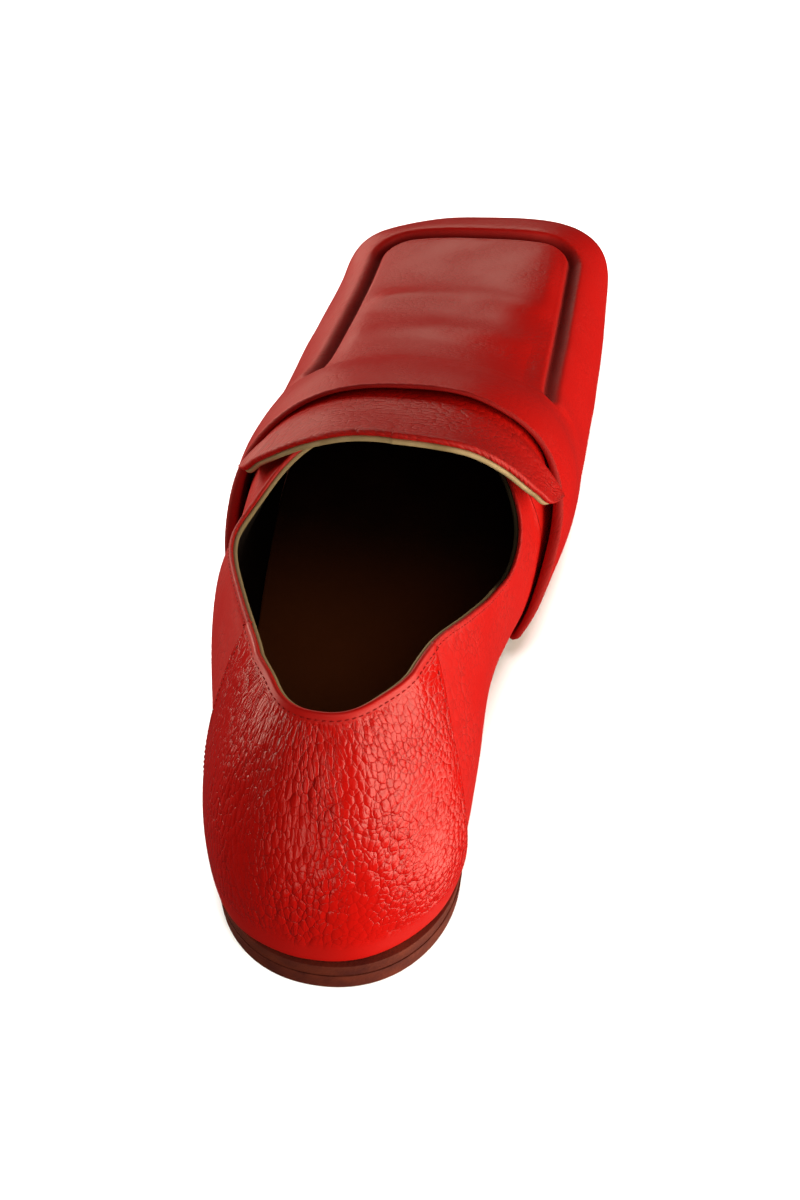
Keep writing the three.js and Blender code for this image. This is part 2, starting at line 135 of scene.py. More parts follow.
def surfacePoint(u, v, side):
    # Each section fans from the centre line to the outline and rises as a squared quarter turn from sole edge
    # to ridge; the wall swells out low down and leans in high up.
    u, v, side = np.broadcast_arrays(np.asarray(u, float), np.asarray(v, float), np.asarray(side, float))
    ox, oy, cy = outline(u, side)
    dx, dy = ox, oy - cy
    reach = np.hypot(dx, dy) + 1e-9
    across, rise = squaredTurn(v, curve(sections, "square", oy))
    base = soleTop(oy) + foot["gap"]
    y0 = cy + dy * across
    z = base + (curve(sections, "ridge", y0) - base) * rise
    climb = (z - base) / curve(sections, "swellAt", oy)
    lean = bySide(leans, ("outer", "inner"), oy, side) * ((z - base) / foot["leanHeight"]) ** 2
    push = (curve(sections, "swell", oy) * climb * np.exp(1 - climb) - lean) * (1 - (1 - across) ** 4) / reach
    x = dx * (across + push)
    return np.stack([x, skewed(x, y0 + dy * push), z], -1)


def unit(a):
    return a / (np.linalg.norm(a, axis=-1, keepdims=True) + 1e-12)


def surfaceNormal(u, v, side):  # cross product of the two small steps; shared along heel, toe and ridge
    u, v, side = np.broadcast_arrays(np.asarray(u, float), np.asarray(v, float), np.asarray(side, float))
    step = 0.002

    def oneSided(s):
        along = surfacePoint(np.minimum(u + step, 1), v, s) - surfacePoint(np.maximum(u - step, 0), v, s)
        up = surfacePoint(u, np.minimum(v + step, 1), s) - surfacePoint(u, np.maximum(v - step, 0), s)
        return unit(np.cross(along, up) * s[..., None])

    ends = ((u < 1e-6) | (u > 1 - 1e-6))[..., None]
    n = np.where(ends, oneSided(-np.ones_like(u)) + oneSided(np.ones_like(u)), oneSided(side))
    y = surfacePoint(u, np.ones_like(u), side)[..., 1]
    slope = curve(sections, "ridge", y + 0.5) - curve(sections, "ridge", y - 0.5)
    top = np.stack([0 * slope, -slope, 1 + 0 * slope], -1)
    return unit(np.where((v > 0.9999)[..., None], top, n))


def offPoint(u, v, side, off):  # a point at a distance off the foot form
    return surfacePoint(u, v, side) + surfaceNormal(u, v, side) * np.asarray(off)[..., None]


def crossing(outside, u, side):  # v at which a test on the surface turns from outside to inside, by halving
    low, high = np.zeros_like(u), np.ones_like(u)
    for _ in range(26):
        mid = (low + high) / 2
        out = outside(surfacePoint(u, mid, side))
        low, high = np.where(out, mid, low), np.where(out, high, mid)
    return (low + high) / 2


def collarV(u, side):  # v of the collar line, and of the ridge ahead of the throat
    v = crossing(lambda p: p[..., 2] < bySide(collar, ("outer", "inner"), p[..., 1], side), u, side)
    return np.where(u >= uAt(foot["throat"]) - 1e-9, 1.0, v)


noise = dict(seed=11, cells=48, shift=400.0)
lattice = np.random.default_rng(noise["seed"]).random((noise["cells"],) * 3)


def softNoise(p, size):  # value noise of a given cell size in millimetres, from -1 to 1
    q = np.asarray(p) / size + noise["shift"]
    i = np.floor(q).astype(int)
    f = ease(q - i)
    total = 0
    for corner in np.ndindex(2, 2, 2):
        weight = np.prod([f[..., k] if corner[k] else 1 - f[..., k] for k in range(3)], axis=0)
        cell = tuple((i[..., k] + corner[k]) % noise["cells"] for k in range(3))
        total = total + weight * lattice[cell]
    return total * 2 - 1


# Mesh making: grids of points in millimetres become quads in metres, with a millimetre UV map.
weld = dict(merge=2e-6, thin=1e-6)


def gridFaces(rows, cols, start, flip):
    a = np.arange(rows * cols).reshape(rows, cols) + start
    quads = np.stack([a[:-1, :-1], a[1:, :-1], a[1:, 1:], a[:-1, 1:]], -1).reshape(-1, 4)
    return quads[:, ::-1] if flip else quads


def makePiece(name, grids, material, replaces=()):
    # grids: list of dicts with points (rows, cols, 3), uv (rows, cols, 2) in mm, marks {name: (rows, cols)}
    points, faces, uvs, marks = [], [], [], {}
    start = 0
    for g in grids:
        rows, cols = g["points"].shape[:2]
        points.append(g["points"].reshape(-1, 3))
        faces.append(gridFaces(rows, cols, start, g.get("flip", False)))
        uvs.append(g.get("uv", np.zeros((rows, cols, 2))).reshape(-1, 2))
        for key, value in g.get("marks", {}).items():
            marks.setdefault(key, {})[start] = np.broadcast_to(value, (rows, cols)).reshape(-1)
        start += rows * cols
    place = (np.concatenate(points) + [-foot["originInward"], -foot["originFromHeel"], 0]) / 1000
    quads = np.concatenate(faces)
    mesh = bpy.data.meshes.new(name)
    mesh.vertices.add(len(place))
    mesh.vertices.foreach_set("co", place.astype(np.float32).ravel())
    mesh.loops.add(quads.size)
    mesh.loops.foreach_set("vertex_index", quads.astype(np.int32).ravel())
    mesh.polygons.add(len(quads))
    mesh.polygons.foreach_set("loop_start", np.arange(0, quads.size, 4, dtype=np.int32))
    mesh.update(calc_edges=True)
    layer = mesh.uv_layers.new(name="millimetres")
    layer.data.foreach_set("uv", (np.concatenate(uvs)[quads.ravel()] / 1000).astype(np.float32).ravel())
    for key, parts in marks.items():
        values = np.zeros(len(place), np.float32)
        for first, part in parts.items():
            values[first:first + len(part)] = part
        mesh.attributes.new(key, "FLOAT", "POINT").data.foreach_set("value", values)
    bm = bmesh.new()
    bm.from_mesh(mesh)
    bmesh.ops.remove_doubles(bm, verts=bm.verts, dist=weld["merge"])
    bmesh.ops.dissolve_degenerate(bm, edges=bm.edges, dist=weld["thin"])
    bm.to_mesh(mesh)
    bm.free()
    mesh.polygons.foreach_set("use_smooth", np.ones(len(mesh.polygons), bool))
    mesh.materials.append(material)
    piece = bpy.data.objects.new(name, mesh)
    scene.collection.objects.link(piece)
    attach(piece, "root")
    if replaces:
        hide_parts(*replaces)
    print("made", name, len(mesh.polygons), "faces")
    return piece


# Materials: pattern sizes are in millimetres of leather.
def colour(code):  # sRGB hex to linear
    c = np.array([int(code[i:i + 2], 16) / 255 for i in (1, 3, 5)])
    return (*np.where(c <= 0.04045, c / 12.92, ((c + 0.055) / 1.055) ** 2.4), 1.0)


def repeats(size):  # how often a pattern of this size in millimetres fits into a metre
    return 1000 / size


def addNode(tree, kind, links=None, **settings):  # adds a node, sets its settings, fills or links its sockets
    made = tree.nodes.new("ShaderNode" + kind)
    for key, value in settings.items():
        setattr(made, key, value)
    for key, value in (links or {}).items():
        if isinstance(value, bpy.types.Node):  # a node stands for its first output
            value = value.outputs[0]
        if isinstance(value, bpy.types.NodeSocket):
            tree.links.new(value, made.inputs[key])
        else:
            made.inputs[key].default_value = value
    return made


def startMaterial(name):  # an empty material, and addNode bound to its tree
    material = bpy.data.materials.new(name)
    material.use_nodes = True
    material.node_tree.nodes.clear()
    return material, partial(addNode, material.node_tree)


def finishMaterial(add, links):
    add("OutputMaterial", {"Surface": add("BsdfPrincipled", links)})


# What all the milled leathers share. A cut has a size in pebbles, a width as a share of that, and a depth.
# the dark red below is painted shade for the seam trough and some edges; the roughness added there is real
milled = dict(wander=2.2, shift=0.95, dome=-2.6, crease=(1.0, 0.09, 0.3), fine=(0.5, 0.2, 0.12),
              fold=(1.4, 0.16), foldDrawn=0.3, patch=14.0, patchy=(0.38, 0.62), cloudy=(0.3, 0.7),
              smoother=0.04, rougher=0.05, calmRough=0.2, grooveRough=0.8, grooveColour="#4a0504", ior=1.46)


def redLeather(name, grain):
    # Milled calf, drum-dyed red and lightly waxed: plump pebbles parted by fine creases painted dark as
    # shade, soft lights.
    # A pebble's height falls with its squared distance from the middle; cuts run where two pebbles meet.
    material, add = startMaterial(name)
    size = grain["pebble"]
    uv = add("UVMap", uv_map="millimetres")
    place = add("Mapping", {"Vector": uv, "Scale": (1.0, 1 / grain["stretch"], 1.0)})
    # pebbles wander off their even places
    wander = add("TexNoise", {"Vector": place, "Scale": repeats(size * milled["wander"]), "Detail": 2.0})
    bent = add("VectorMath", {0: wander.outputs["Color"], 1: (-0.5, -0.5, -0.5)}, operation="ADD")
    shift = add("VectorMath", {0: bent, "Scale": size / 1000 * milled["shift"]}, operation="SCALE")
    there = add("VectorMath", {0: place, 1: shift}, operation="ADD")
    drawn = add("Mapping", {"Vector": there, "Scale": (1.0, milled["foldDrawn"], 1.0)})
    # domes, creases between them, long folds and finer creases across them
    pebble = add("TexVoronoi", {"Vector": there, "Scale": repeats(size)}, feature="F1")
    apart = pebble.outputs["Distance"]
    fall = add("Math", {0: apart, 1: apart}, operation="MULTIPLY")
    height = add("Math", {0: fall, 1: milled["dome"], 2: 1.0}, operation="MULTIPLY_ADD")
    cuts = []
    for at, cell, wide, deep in ((there, *milled["crease"]), (drawn, *milled["fold"], grain["wrinkle"]),
                                 (there, *milled["fine"])):
        edges = add("TexVoronoi", {"Vector": at, "Scale": repeats(size * cell)}, feature="DISTANCE_TO_EDGE")
        cut = add("MapRange", {"Value": edges.outputs["Distance"], "From Max": wide},
                  interpolation_type="SMOOTHSTEP")
        height = add("Math", {0: cut, 1: deep, 2: height}, operation="MULTIPLY_ADD")
        cuts.append(cut)
    # the grain comes and goes in patches; calm is 1 where the leather is stretched smooth
    patch = add("TexNoise", {"Vector": uv, "Scale": repeats(milled["patch"]), "Detail": 3.0}).outputs["Fac"]
    low, high = milled["patchy"]
    share = add("MapRange", {"Value": patch, "From Min": low, "From Max": high, "To Min": grain["least"]})
    calm = add("Attribute", attribute_name="calm").outputs["Fac"]
    left = add("Math", {0: 1.0, 1: calm}, operation="SUBTRACT")
    kept = add("Math", {0: share, 1: left}, operation="MULTIPLY")
    grown = add("Math", {0: height, 1: kept}, operation="MULTIPLY")
    bump = add("Bump", {"Height": grown, "Strength": grain["strength"], "Distance": grain["depth"] / 1000})
    # painted shade: the creases are painted darker; a second mark, 1 in the trough of the apron seam and less
    # on the vamp's lip edge, the rolled collar edge and the tongue's turned edge, paints those darker as
    # shade and makes them rougher
    creaseShade = add("Math", {0: 1.0, 1: cuts[0]}, operation="SUBTRACT")
    deep = add("Math", {0: creaseShade, 1: kept}, operation="MULTIPLY")
    dark = add("Math", {0: deep, 1: grain["creaseShadeTone"]}, operation="MULTIPLY")
    # painted shade: where this mark is set the colour is mixed towards a dark red, and the roughness raised
    groove = add("Attribute", attribute_name="groove").outputs["Fac"]
    tone = add("Mix", {0: dark, 6: colour(grain["colour"]), 7: colour(grain["creaseShadeColour"])},
               data_type="RGBA").outputs[2]
    tone = add("Mix", {0: groove, 6: tone, 7: colour(milled["grooveColour"])}, data_type="RGBA").outputs[2]
    low, high = milled["cloudy"]
    rough = add("MapRange", {"Value": patch, "From Min": low, "From Max": high,
                             "To Min": grain["rough"] - milled["smoother"],
                             "To Max": grain["rough"] + milled["rougher"]})
    matt = add("Math", {0: calm, 1: milled["calmRough"], 2: rough}, operation="MULTIPLY_ADD")
    dull = add("Math", {0: groove, 1: milled["grooveRough"], 2: matt}, operation="MULTIPLY_ADD",
               use_clamp=True)
    finishMaterial(add, {"Base Color": tone, "Roughness": dull, "Normal": bump, "IOR": milled["ior"],
                         "Specular IOR Level": grain["gloss"]})
    return material


plain = dict(cloudy=(0.3, 0.7), poreStrength=0.6, gloss=0.2)


def plainLeather(name, finish):
    # Vegetable-tanned or lining leather, and thread: matt, with close pores and clouds of darker dye.
    material, add = startMaterial(name)
    at = add("TexCoord").outputs["Object"]
    mottle = add("TexNoise", {"Vector": at, "Scale": repeats(finish["mottle"]), "Detail": 5.0})
    pores = add("TexNoise", {"Vector": at, "Scale": repeats(finish["pore"]), "Detail": 3.0})
    low, high = plain["cloudy"]
    cloud = add("MapRange", {"Value": mottle.outputs["Fac"], "From Min": low, "From Max": high})
    base = add("Mix", {0: cloud, 6: colour(finish["dark"]), 7: colour(finish["light"])},
               data_type="RGBA").outputs[2]
    if "edge" in finish:  # a second colour where the attribute edge is 1: a raw edge, or the sock's own brown away from the shade painted in its toe
        mark = add("Attribute", attribute_name="edge").outputs["Fac"]
        base = add("Mix", {0: mark, 6: base, 7: colour(finish["edge"])}, data_type="RGBA").outputs[2]
    bump = add("Bump", {"Height": pores.outputs["Fac"], "Strength": plain["poreStrength"],
                        "Distance": finish["depth"] / 1000})
    finishMaterial(add, {"Base Color": base, "Roughness": finish["rough"], "Normal": bump,
                         "Specular IOR Level": plain["gloss"]})
    return material


# Smooth and lasted tight: hardly any grain, a broad soft sheen.
vampGrain = dict(pebble=1.3, stretch=1.0, strength=0.5, depth=0.06, least=0.25, wrinkle=0.0, colour="#cc1009",
                 creaseShadeColour="#8a0906", creaseShadeTone=0.25, rough=0.35, gloss=0.3)
vampLeather = redLeather("milled red calf, fine", vampGrain)
# Coarse pebbles with domed tops that catch the light one by one.
heelGrain = dict(pebble=2.0, stretch=1.0, strength=1.0, depth=0.16, least=0.4, wrinkle=0.25, colour="#cc1009",
                 creaseShadeColour="#6a0604", creaseShadeTone=0.3, rough=0.21, gloss=0.37)
heelLeather = redLeather("milled red calf, coarse", heelGrain)
# Low pebbles, a little drawn out, that show only in patches.
quarterGrain = dict(pebble=1.7, stretch=1.3, strength=0.8, depth=0.08, least=0.15, wrinkle=0.2,
                    colour="#cc1009", creaseShadeColour="#7a0805", creaseShadeTone=0.4, rough=0.42, gloss=0.4)
quarterLeather = redLeather("milled red calf, medium", quarterGrain)
# Even small pebbles, a shade deeper.
tongueGrain = dict(pebble=1.6, stretch=1.0, strength=0.9, depth=0.10, least=0.5, wrinkle=0.0,
                   colour="#c81009", creaseShadeColour="#7a0805", creaseShadeTone=0.4, rough=0.38, gloss=0.36)
tongueLeather = redLeather("milled red calf, tongue", tongueGrain)
# Painted nearly black as the shade inside the shoe, with a pale cut edge round the collar.
liningLeather = plainLeather("pigskin lining painted near-black as shade, raw tan edge", dict(
    mottle=9.0, pore=0.7, dark="#0c0604", light="#140a07", edge="#a28a64", rough=0.6, depth=0.05))
# Pale and dry, seen as a thin line under the tongue's edge.
tanLeather = plainLeather("undyed tan lining leather", dict(
    mottle=6.0, pore=0.6, dark="#a18860", light="#c0a67e", rough=0.6, depth=0.05))
# Reddish brown and fibrous, hardly any shine.
soleLeather = plainLeather("oak-bark tanned sole leather, edge dressed", dict(
    mottle=7.0, pore=0.8, dark="#521e18", light="#74301f", rough=0.66, depth=0.25))
liftLeather = plainLeather("stacked heel leather, edge dressed", dict(
    mottle=5.0, pore=0.8, dark="#521e18", light="#702e1f", rough=0.66, depth=0.25))
# Warm brown under the heel, painted dark towards the toe as the shade deep inside the shoe.
insoleLeather = plainLeather("brown sock leather, painted shade in the toe", dict(
    mottle=10.0, pore=0.7, dark="#1e0d06", light="#2c140a", edge="#a8582c", rough=0.6, depth=0.05))
# Fine twisted thread, a shade darker than the leather.
threadRed = plainLeather("waxed red linen thread", dict(
    mottle=2.0, pore=0.3, dark="#980c09", light="#b8140e", rough=0.5, depth=0.03))
print("materials made")


# Shared by the pieces of the upper.
def lengthAlong(points, axis):  # running length in mm along one axis of a grid, for UV maps
    d = np.linalg.norm(np.diff(points, axis=axis), axis=-1)
    pad = [(0, 0), (0, 0)]
    pad[axis] = (1, 0)
    return np.cumsum(np.pad(d, pad), axis=axis)


def gridUv(points, middle):  # length round the shoe, taken on one middle line, and length up the wall, in mm
    along, up = lengthAlong(points, 0), lengthAlong(points, 1)
    return np.stack([np.broadcast_to(along[:, middle:middle + 1], up.shape), up], -1)


soleTuck = dict(depth=0.8, run=1.6)


def tuck(points, off):  # near the sole edge the leather turns under, pulled in by a parabola
    above = points[..., 2] - soleTop(points[..., 1]) - foot["gap"]
    return off - soleTuck["depth"] * np.clip(1 - above / soleTuck["run"], 0, 1) ** 2


panelCover = dict(front=43.0, run=3.0)


def underPanel(y):  # 1 where the heel panel is folded over the collar, 0 ahead of its front seams
    return ease((panelCover["front"] - y) / panelCover["run"])


def bothSides(uSide):  # stations from the outer side round the heel to the inner side
    u = np.concatenate([-uSide[::-1], uSide[1:]])
    return np.abs(u), np.where(u < 0, -1.0, 1.0)


def wallPlaces(u, side, share):  # grid of places on the wall, share running from sole edge to collar
    top = collarV(u, side)
    uGrid, shareGrid = np.meshgrid(u, share, indexing="ij")
    return top, uGrid, shareGrid * top[:, None], np.broadcast_to(side[:, None], uGrid.shape), shareGrid


def collarFrame(u, top, side):  # the collar line, and the directions out of the wall and up along it
    edge = surfacePoint(u, top, side)
    rise = unit(edge - surfacePoint(u, top - 0.01, side))
    return edge, surfaceNormal(u, np.minimum(top, 0.999), side), rise


def halfTurn(edge, out, rise, radius, turn):  # half a circle over an edge, up by sine, in by 1 less cosine
    up, inward = radius * np.sin(turn), radius * (1 - np.cos(turn))
    return edge[:, None] + rise[:, None] * up[..., None] - out[:, None] * inward[..., None]


# Quarters: the wall round the heel and along the sides, up to the collar, with a rolled red edge.
quarters = dict(stations=150, crowding=0.9, rows=70, roll=0.5, rollRows=9, innerDrop=5.0, dropRows=5,
                dent=0.25, dentSize=13, dentFade=6, hidden=1.6, pull=12, bead=0.9, beadRun=0.05,
                rimTone=0.12, rimFrom=0.96, rimRun=0.03, under=26, underTo=152, uvRow=35)
throat = float(uAt(foot["throat"]))


def collarBead(share):  # the edge is plumper just below the collar
    return quarters["bead"] * ease((share - 1 + quarters["beadRun"]) / quarters["beadRun"])


def quarterGrids():
    u, side = bothSides(throat * np.linspace(0, 1, quarters["stations"]) ** quarters["crowding"])
    s = np.linspace(0, 1, quarters["rows"])
    top, uGrid, vGrid, sideGrid, share = wallPlaces(u, side, s)
    raw = surfacePoint(uGrid, vGrid, sideGrid)
    dent = quarters["dent"] * softNoise(raw, quarters["dentSize"]) * (1 - share ** quarters["dentFade"])
    off = tuck(raw, dent) + collarBead(share)
    wall = raw + surfaceNormal(uGrid, vGrid, sideGrid) * off[..., None]
    # the rolled collar edge: half a turn, then a short drop inside; it stays lower under the heel panel
    edge, out, rise = collarFrame(u, top, side)
    hidden = rise * (quarters["hidden"] * underPanel(edge[:, 1]))[:, None]
    wall = wall - hidden[:, None] * (s ** quarters["pull"])[None, :, None]
    turn = np.linspace(0, np.pi, quarters["rollRows"])[1:]
    roll = halfTurn(edge - hidden + out * quarters["bead"], out, rise, quarters["roll"], turn)
    drop = np.linspace(0, quarters["innerDrop"], quarters["dropRows"])[1:]
    inside = roll[:, -1:] - rise[:, None] * drop[None, :, None]
    points = np.concatenate([wall, roll, inside], 1)
    # painted shade: the rolled collar edge and the drop inside are painted a little darker, and made rougher
    rim = quarters["rimTone"] * np.append(ease((s - quarters["rimFrom"]) / quarters["rimRun"]),
                                          np.ones(roll.shape[1] + inside.shape[1]))
    grids = [dict(points=points, uv=gridUv(points, quarters["uvRow"]), marks=dict(groove=rim))]
    # below the vamp the wall goes on as a plain sheet
    uFront = np.linspace(throat, float(uAt(quarters["underTo"])), quarters["under"])
    uGrid, vGrid = np.meshgrid(uFront, s, indexing="ij")
    for sign in (-1.0, 1.0):
        raw = surfacePoint(uGrid, vGrid, sign)
        points = raw + surfaceNormal(uGrid, vGrid, sign) * tuck(raw, 0 * uGrid)[..., None]
        grids.append(dict(points=points, uv=gridUv(points, quarters["uvRow"]), flip=sign < 0))
    return grids


makePiece("quarters", quarterGrids(), quarterLeather, replaces=("upper",))

# Vamp: from its free rear edge over the instep to the toe, with the apron groove and soft walking folds.
vamp = dict(rear=130, along=330, crowding=1.08, low=34, band=44, top=26, bandHalf=0.13, lowest=0.2,
            highest=0.985, blend=172.0, edgeRows=9, edgeTone=0.5,
            underAt=(0.42, 0.34, 0.26, 0.18, 0.10, 0.04), underFall=0.9, ripple=0.12, rippleSize=11)
vampEdge = dict(
    v=[0.03, 0.16, 0.3, 0.45, 0.7, 1.0],
    outer=[103, 110, 120, 123, 127, 130],
    inner=[108, 113, 126, 132, 131.5, 130],
    liftOuter=[0.2, 0.7, 1.5, 2.9, 4.3, 4.7],
    liftInner=[0.2, 0.6, 2.0, 3.9, 4.7, 4.7],
    thick=[1.9, 2.9, 2.9, 1.8, 1.2, 1.2])
vampLip = dict(
    share=[0, 0.25, 0.45, 0.7, 1.0, 1.25],
    under=[1.0, 0.8, 0.55, 0.14, 0.0, 0.0],
    thick=[1.0, 0.92, 0.76, 0.38, 0.05, 0.0])
apron = dict(front=251.5, outer=-31.0, inner=29.2, taper=0.035, taperTo=205, corner=10.0, frontSkew=0.13,
             starts=156.0, startSkew=0.17, fade=5.0, line=0.2, trough=2.2, steep=1.25, soft=1.35,
             ridge=0.6, ridgeAt=2.4, ridgeOut=4.5, ridgeIn=1.5, drop=0.7, dropFrom=0.6, dropRun=4,
             crown=0.5, crownFrom=5, crownRun=20, tone=0.75, toneOut=1.5, toneIn=1.3)
# folds: place from the heel, height, half width and lean of each
folds = dict(each=((184.0, 0.5, 6.5, 0.2), (208.5, 1.1, 6.0, 0.16)), waver=2.0, waverSize=17, lee=0.35,
             leeAt=2.2, leeWide=1.6, clear=1, run=9, even=0.75, uneven=0.4, unevenSize=23)
swells = dict(rear=176, rearWide=17, rearOuter=1.0, rearInner=2.6, front=229, frontWide=18, frontInner=1.5,
              innerFrom=-8, innerRun=32, run=7)
toeCorner = dict(x=-37, y=251, wide=8, long=11, rise=1.5)


def outsideApron(x, y):  # distance outside the rounded apron outline, seen from above
    across = np.maximum(apron["outer"] - x, x - apron["inner"] - apron["taper"] * (apron["taperTo"] - y))
    ahead = y - apron["front"] - apron["frontSkew"] * x
    a, b = across + apron["corner"], ahead + apron["corner"]
    rounded = np.hypot(np.maximum(a, 0), np.maximum(b, 0)) - apron["corner"]
    return np.where((a > 0) & (b > 0), rounded, np.maximum(across, ahead))


def apronFade(x, y):  # the groove sets in ahead of its rear ends over a few millimetres
    return ease((y - apron["starts"] - apron["startSkew"] * x) / apron["fade"])


def bell(t):  # bell curve, 1 in the middle
    return np.exp(-t ** 2)


def vampRelief(p):
    # Height over the foot form: a narrow trough on the apron line, a rounded ridge just outside it, the apron
    # a little lower, all bells of the distance from that line; then raised folds where the foot bends, each
    # with a shallow lee ahead, broad swells, a fuller outer toe corner and faint ripples.
    x, y = p[..., 0], p[..., 1]
    d = outsideApron(x, y)
    e = d - apron["line"]
    past = e - apron["ridgeAt"]
    trough = -apron["trough"] * bell(e / np.where(e > 0, apron["steep"], apron["soft"]))
    ridge = apron["ridge"] * bell(past / np.where(past > 0, apron["ridgeOut"], apron["ridgeIn"]))
    crown = 1 - apron["crown"] * ease((-e - apron["crownFrom"]) / apron["crownRun"])
    drop = -apron["drop"] * ease((apron["dropFrom"] - e) / apron["dropRun"]) * crown
    fold = 0
    for at, high, wide, lean in folds["each"]:
        waver = folds["waver"] * softNoise(np.stack([x, 0 * x, 0 * x + at], -1), folds["waverSize"])
        ahead = (y - at - lean * x - waver) / wide
        fold = fold + high * (bell(ahead) - folds["lee"] * bell((ahead - folds["leeAt"]) / folds["leeWide"]))
    fold = fold * ease((-d - folds["clear"]) / folds["run"])
    fold = fold * (folds["even"] + folds["uneven"] * softNoise(p, folds["unevenSize"]))
    inner = ease((x - swells["innerFrom"]) / swells["innerRun"])
    swell = swells["rearOuter"] - swells["rearInner"] * inner
    swell = swell * bell((y - swells["rear"]) / swells["rearWide"])
    swell = swell + swells["frontInner"] * inner * bell((y - swells["front"]) / swells["frontWide"])
    swell = swell * ease(-d / swells["run"])
    corner = bell((x - toeCorner["x"]) / toeCorner["wide"]) * bell((y - toeCorner["y"]) / toeCorner["long"])
    ripple = vamp["ripple"] * softNoise(p, vamp["rippleSize"])
    return (trough + ridge + drop) * apronFade(x, y) + fold + swell + toeCorner["rise"] * corner + ripple


def vampGrids():
    rearU = float(uAt(vamp["rear"]))
    b = np.linspace(0, 1, vamp["along"]) ** vamp["crowding"]  # share along, from the rear edge to the toe tip
    uPlain = rearU + (1 - rearU) * b
    halves = []
    for sign in (-1.0, 1.0):  # rows are crowded in a band over the apron line
        side = sign * np.ones_like(uPlain)
        lineV = crossing(lambda p: outsideApron(p[..., 0], p[..., 1]) > 0, uPlain, side)
        low = np.clip(lineV - vamp["bandHalf"], vamp["lowest"], 1)[:, None]
        high = np.clip(lineV + vamp["bandHalf"], 0, vamp["highest"])[:, None]
        halves.append(np.concatenate([low * np.linspace(0, 1, vamp["low"])[:-1],
                                      low + (high - low) * np.linspace(0, 1, vamp["band"])[:-1],
                                      high + (1 - high) * np.linspace(0, 1, vamp["top"])], 1))
    vGrid = np.concatenate([halves[0], halves[1][:, -2::-1]], 1)
    side = np.concatenate([-np.ones(halves[0].shape[1]), np.ones(halves[1].shape[1] - 1)])
    sideGrid = np.broadcast_to(side, vGrid.shape)
    rearY = bySide(vampEdge, ("outer", "inner"), vGrid, sideGrid)
    lift = bySide(vampEdge, ("liftOuter", "liftInner"), vGrid, sideGrid)
    thick = curve(vampEdge, "thick", vGrid)
    uGrid = np.clip(uAt(rearY) + (1 - uAt(rearY)) * b[:, None], 0, 1)
    raw = surfacePoint(uGrid, vGrid, sideGrid)
    normal = surfaceNormal(uGrid, vGrid, sideGrid)
    share = (raw[..., 1] - rearY) / (vamp["blend"] - rearY)
    lip = lift * curve(vampLip, "under", share) + thick * curve(vampLip, "thick", share)
    off = tuck(raw, lip + foot["gap"] * (1 - ease(share)) + vampRelief(raw))
    skin = raw + normal * off[..., None]
    # rear edge: a half-round nose, then the underside runs forward and down to the quarters
    back = unit(raw[:1] - raw[1:2])
    half = thick[:1] / 2
    turn = np.linspace(0, np.pi, vamp["edgeRows"])[:-1][::-1]
    nose = [raw[:1] + normal[:1] * (off[:1] - half + half * math.cos(t))[..., None]
            + back * (half * math.sin(t))[..., None] for t in turn]
    under = []
    for k in vamp["underAt"]:
        uUnder = uAt(rearY[:1] + (vamp["blend"] - rearY[:1]) * k)
        fall = 1 - vamp["underFall"] * k / vamp["underAt"][0]
        under.append(offPoint(uUnder, vGrid[:1], sideGrid[:1], (off[:1] - 2 * half) * fall))
    points = np.concatenate(under + nose + [skin], 0)
    uv = np.stack([points[..., 1], lengthAlong(points, 1)], -1)
    # painted shade: the trough along the apron line is painted darker
    e = outsideApron(raw[..., 0], raw[..., 1]) - apron["line"]
    troughShade = apron["tone"] * bell(e / np.where(e > 0, apron["toneOut"], apron["toneIn"]))
    troughShade = troughShade * apronFade(raw[..., 0], raw[..., 1])
    # painted shade: the lip's cut edge and its underside are painted darker
    lipEdgeShade = np.full((len(under) + len(nose), raw.shape[1]), vamp["edgeTone"])
    return [dict(points=points, uv=uv, flip=True, marks=dict(groove=np.concatenate([lipEdgeShade, troughShade], 0)))]


makePiece("vamp", vampGrids(), vampLeather)

# Heel panel: the coarse-grained layer round the back, folded over the collar, with sewn front edges.
panel = dict(gap=0.45, thickness=1.2, turns=240, rows=110, roll=0.65, rollRows=8, rollEnd=0.6,
             inside=(1.0, 2.0, 3.0), dent=0.3, dentSize=9, dentTall=0.55, dentFade=8, dentRun=0.08,
             skive=0.35, skiveFrom=0.86, skiveRun=0.14, edgeFrom=0.982, edgeRun=0.018, edgeLeft=0.15,
             uvRow=50, uvMiddle=35, calmLow=0.17, calmLowRun=0.09, calmHigh=0.968, calmHighRun=0.015)
panelEdge = dict(share=[0, 0.5, 1.0], outer=[31, 36.5, 43.5], inner=[26.5, 28.5, 43.5])
panelGrain = dict(
    turn=[-1, -0.5, -0.1, 0.25, 0.6, 1],
    across=[1.05, 1.1, 1.4, 1.8, 1.65, 1.4],
    tall=[3.0, 3.0, 3.1, 2.4, 1.8, 1.6])
panelFull = panel["gap"] + panel["thickness"]


def panelPlace(t, s):  # u, v and side of a signed turn from seam to seam and a share from sole to collar
    side = np.where(t < 0, -1.0, 1.0)
    u = np.abs(t) * uAt(bySide(panelEdge, ("outer", "inner"), s, side))
    return u, s * collarV(u, side), side


def panelSkive(s):  # the panel is pared thinner towards the collar
    return panel["skive"] * ease((s - panel["skiveFrom"]) / panel["skiveRun"])


